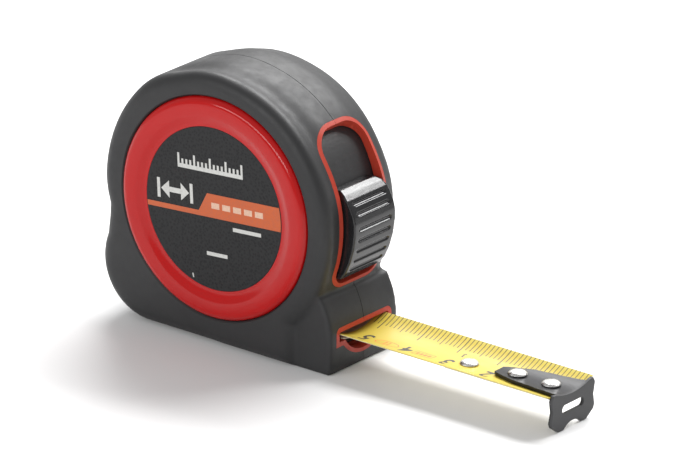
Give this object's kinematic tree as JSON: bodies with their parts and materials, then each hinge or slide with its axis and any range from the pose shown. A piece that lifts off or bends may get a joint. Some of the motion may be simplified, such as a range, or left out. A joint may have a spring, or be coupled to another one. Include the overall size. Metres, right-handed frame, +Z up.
{
  "type": "tape measure",
  "caption": "Pocket tape measure with a rubber covered round case, thumb lock in a front slot, belt clip and a yellow concave blade with an end hook.",
  "frame": {"origin": "on the flat base, straight below the spool axis, in the plane where the case halves meet", "axes": "+X the way the blade runs out, +Z up, -Y towards the label side"},
  "size_m": [0.1105, 0.0321, 0.0583],
  "materials": {
    "rubber_black": "satin moulded rubber",
    "shell_red": "moulded red plastic, matt at its bare edges",
    "bezel_red": "glossy red plastic",
    "label_black": "fine grained black film with an orange band",
    "spool_grey": "plain moulded plastic",
    "spring_steel": "blued spring steel",
    "post_steel": "turned steel",
    "slip_white": "smooth low friction plastic",
    "blade_yellow": "matt yellow coat with black ticks and numerals",
    "hook_black": "black coat, glossy on the arm, satin on the face",
    "rivet_steel": "polished",
    "button_black": "glossy black plastic",
    "slide_black": "satin black plastic",
    "pad_rubber": "plain rubber",
    "screw_steel": "zinc plated steel",
    "clip_steel": "satin spring steel"
  },
  "bodies": {
    "case": {"front_shell": "shell_red", "rear_shell": "shell_red", "front_rubber": "rubber_black", "rear_rubber": "rubber_black", "front_bezel": "bezel_red", "front_label": "label_black", "axle_post": "post_steel", "front_slip_disc": "slip_white", "rear_slip_disc": "slip_white", "blade_lead": "blade_yellow", "mouth_bumper": "pad_rubber", "case_screws": "screw_steel", "belt_clip": "clip_steel", "clip_screw": "screw_steel"},
    "drum": {"spool_drum": "spool_grey", "drum_cover": "spool_grey", "blade_coil": "blade_yellow", "power_spring": "spring_steel"},
    "blade": {"blade": "blade_yellow", "blade_backing": "blade_yellow", "hook_rivets": "rivet_steel", "backing_rivet": "rivet_steel"},
    "hook": {"hook": "hook_black"},
    "lock": {"lock_slide": "slide_black", "brake_pad": "pad_rubber", "lock_button": "button_black"}
  },
  "joints": [
    {"name": "drum_spin", "type": "hinge", "parent": "case", "child": "drum", "pos_m": [0, 0, 0.0295], "axis": [0, 1, 0], "range_deg": [0, 159.5]},
    {"name": "blade_slide", "type": "slide", "parent": "case", "child": "blade", "axis": [1, 0, 0], "range_m": [-0.0509, 0]},
    {"name": "hook_float", "type": "slide", "parent": "blade", "child": "hook", "axis": [1, 0, 0], "range_m": [0, 0.0008]},
    {"name": "lock_swing", "type": "hinge", "parent": "case", "child": "lock", "pos_m": [0, 0, 0.0295], "axis": [0, -1, 0], "range_deg": [0, 22]}
  ],
  "couplings": [
    {"joint": "blade_slide", "follows": "drum_spin", "m_per_rad": -0.01825}
  ]
}
